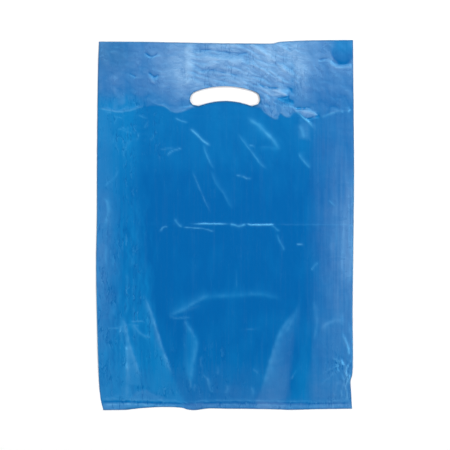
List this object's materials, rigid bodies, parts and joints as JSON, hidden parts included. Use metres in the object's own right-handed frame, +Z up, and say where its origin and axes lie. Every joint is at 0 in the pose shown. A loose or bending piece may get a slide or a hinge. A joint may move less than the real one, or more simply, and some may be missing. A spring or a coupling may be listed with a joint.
{
  "type": "plastic carrier bag",
  "caption": "Flat, empty blue plastic carrier bag: a lay-flat film tube with a deep turned-in top hem, a curved punched hand slot and a welded foot with a short loose skirt.",
  "frame": {"origin": "on the surface that the bag lies on, under the middle of its flat outline", "axes": "+Y up the bag from its foot to its mouth, +X to the right across the bag seen from above, +Z up from the surface that it lies on"},
  "size_m": [0.3176, 0.4556, 0.0036],
  "materials": {
    "film": "satin"
  },
  "bodies": {
    "root": {"bag": "film"}
  },
  "joints": []
}
